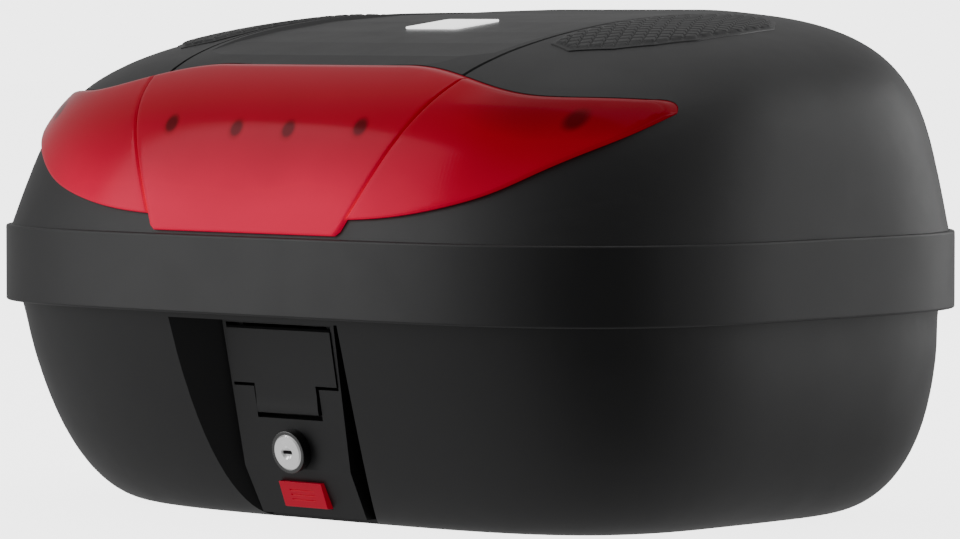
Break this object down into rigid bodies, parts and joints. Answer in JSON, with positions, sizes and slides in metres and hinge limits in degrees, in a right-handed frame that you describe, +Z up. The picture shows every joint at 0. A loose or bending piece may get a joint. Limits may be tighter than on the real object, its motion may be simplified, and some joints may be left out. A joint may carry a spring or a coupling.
{
  "type": "motorcycle top case",
  "caption": "Hard motorcycle top case with hinged lid, wrap-around red lamp lens, key lock, latch lever and a red push button that frees it from its carrier.",
  "frame": {"origin": "middle of the bounding box in plan, on the underside", "axes": "+Z up, rear face with lamp and lock towards -Y, hinge towards +Y, +X along the width"},
  "size_m": [0.5801, 0.435, 0.3168],
  "materials": {
    "shell_plastic": "satin, fine grain",
    "lid_plastic": "satin, fine grain",
    "band_plastic": "satin, fine grain",
    "column_plastic": "satin, fine grain",
    "lever_plastic": "satin",
    "inner_plastic": "matt",
    "insert_plastic": "raised diamond texture",
    "seal_rubber": "matt",
    "lens_red": "clear red, glossy",
    "badge_white": "blank white",
    "barrel_chrome": "satin chrome",
    "key_chrome": "polished",
    "zinc_steel": "zinc plated",
    "screw_steel": "zinc plated",
    "pin_steel": "ground",
    "spring_steel": "drawn wire",
    "button_red": "satin red"
  },
  "bodies": {
    "base": {"base_shell": "shell_plastic", "lock_housing": "column_plastic", "lock_screws": "screw_steel", "lock_back_cover": "inner_plastic", "cover_screws": "screw_steel", "key_barrel": "barrel_chrome", "lever_pin": "pin_steel", "lever_spring": "spring_steel", "button_spring": "spring_steel", "hook_pin": "pin_steel", "hinge_pins": "pin_steel"},
    "lid": {"lid_shell": "lid_plastic", "rim_band": "band_plastic", "lid_seal": "seal_rubber", "lens_middle": "lens_red", "lens_left": "lens_red", "lens_right": "lens_red", "lens_screws": "screw_steel", "top_insert_right": "insert_plastic", "top_insert_left": "insert_plastic", "badge_plate": "badge_white", "lid_striker": "zinc_steel", "striker_screws": "screw_steel"},
    "lever": {"latch_lever": "lever_plastic"},
    "key": {"key_plug": "key_chrome", "lock_cam": "zinc_steel", "cam_screw": "screw_steel"},
    "bolt": {"lock_bolt": "zinc_steel"},
    "button": {"release_button": "button_red"},
    "hook": {"mount_hook": "zinc_steel"}
  },
  "joints": [
    {"name": "lid_hinge", "type": "hinge", "parent": "base", "child": "lid", "pos_m": [0, 0.2105, 0.122], "axis": [-1, 0, 0], "range_deg": [0, 80]},
    {"name": "latch_lever_hinge", "type": "hinge", "parent": "base", "child": "lever", "pos_m": [0, -0.17302, 0.11848], "axis": [-1, 0, 0], "range_deg": [-7, 25], "stiffness_Nm_per_rad": 0.05, "deforming": ["lever_spring"]},
    {"name": "key_turn", "type": "hinge", "parent": "base", "child": "key", "pos_m": [0, -0.1691, 0.0459], "axis": [0, 0.9816, 0.1908], "range_deg": [-90, 0]},
    {"name": "bolt_slide", "type": "slide", "parent": "base", "child": "bolt", "axis": [1, 0, 0], "range_m": [-0.006, 0]},
    {"name": "button_press", "type": "slide", "parent": "base", "child": "button", "axis": [0, 1, 0], "range_m": [0, 0.0042], "stiffness_N_per_m": 800, "deforming": ["button_spring"]},
    {"name": "hook_swing", "type": "hinge", "parent": "base", "child": "hook", "pos_m": [0, -0.1125, 0.011], "axis": [-1, 0, 0], "range_deg": [0, 23]}
  ],
  "couplings": [
    {"joint": "bolt_slide", "follows": "key_turn", "m_per_rad": 0.0038197},
    {"joint": "hook_swing", "follows": "button_press", "rad_per_m": 95}
  ]
}
